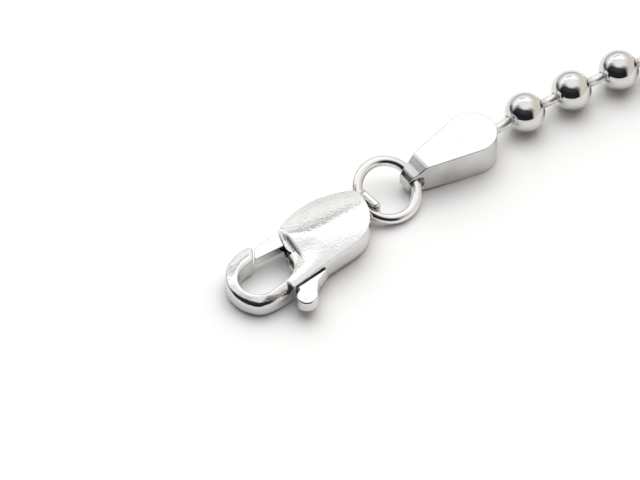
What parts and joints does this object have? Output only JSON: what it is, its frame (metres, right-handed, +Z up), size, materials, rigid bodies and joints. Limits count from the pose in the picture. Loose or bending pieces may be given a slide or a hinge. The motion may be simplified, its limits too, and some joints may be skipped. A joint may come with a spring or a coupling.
{
  "type": "ball chain necklace",
  "caption": "Ball chain necklace laid as an open oval, with teardrop end tags, jump rings and a trigger clasp whose spring-loaded gate closes its hook.",
  "frame": {"origin": "middle of the laid oval, on the surface that it lies on", "axes": "+X along the oval's longer side, +Y towards the clasp, +Z up"},
  "size_m": [0.1732, 0.139, 0.003],
  "materials": {
    "cast_silver": "polished cast silver with faint scratches",
    "wire_silver": "polished drawn silver wire",
    "tag_silver": "bright polished silver sheet",
    "bead_silver": "mirror polished silver"
  },
  "bodies": {
    "necklace": {"clasp_body": "cast_silver", "pivot_pin": "wire_silver", "clasp_ring": "wire_silver", "clasp_tag": "tag_silver", "chain_beads": "bead_silver", "chain_links": "wire_silver", "far_tag": "tag_silver", "catch_ring": "wire_silver"},
    "trigger": {"trigger": "cast_silver"}
  },
  "joints": [
    {"name": "trigger_turn", "type": "hinge", "parent": "necklace", "child": "trigger", "pos_m": [-0.0078, 0.06502, 0.00125], "axis": [0, 0, 1], "range_deg": [0, 14], "stiffness_Nm_per_rad": 0.004}
  ]
}
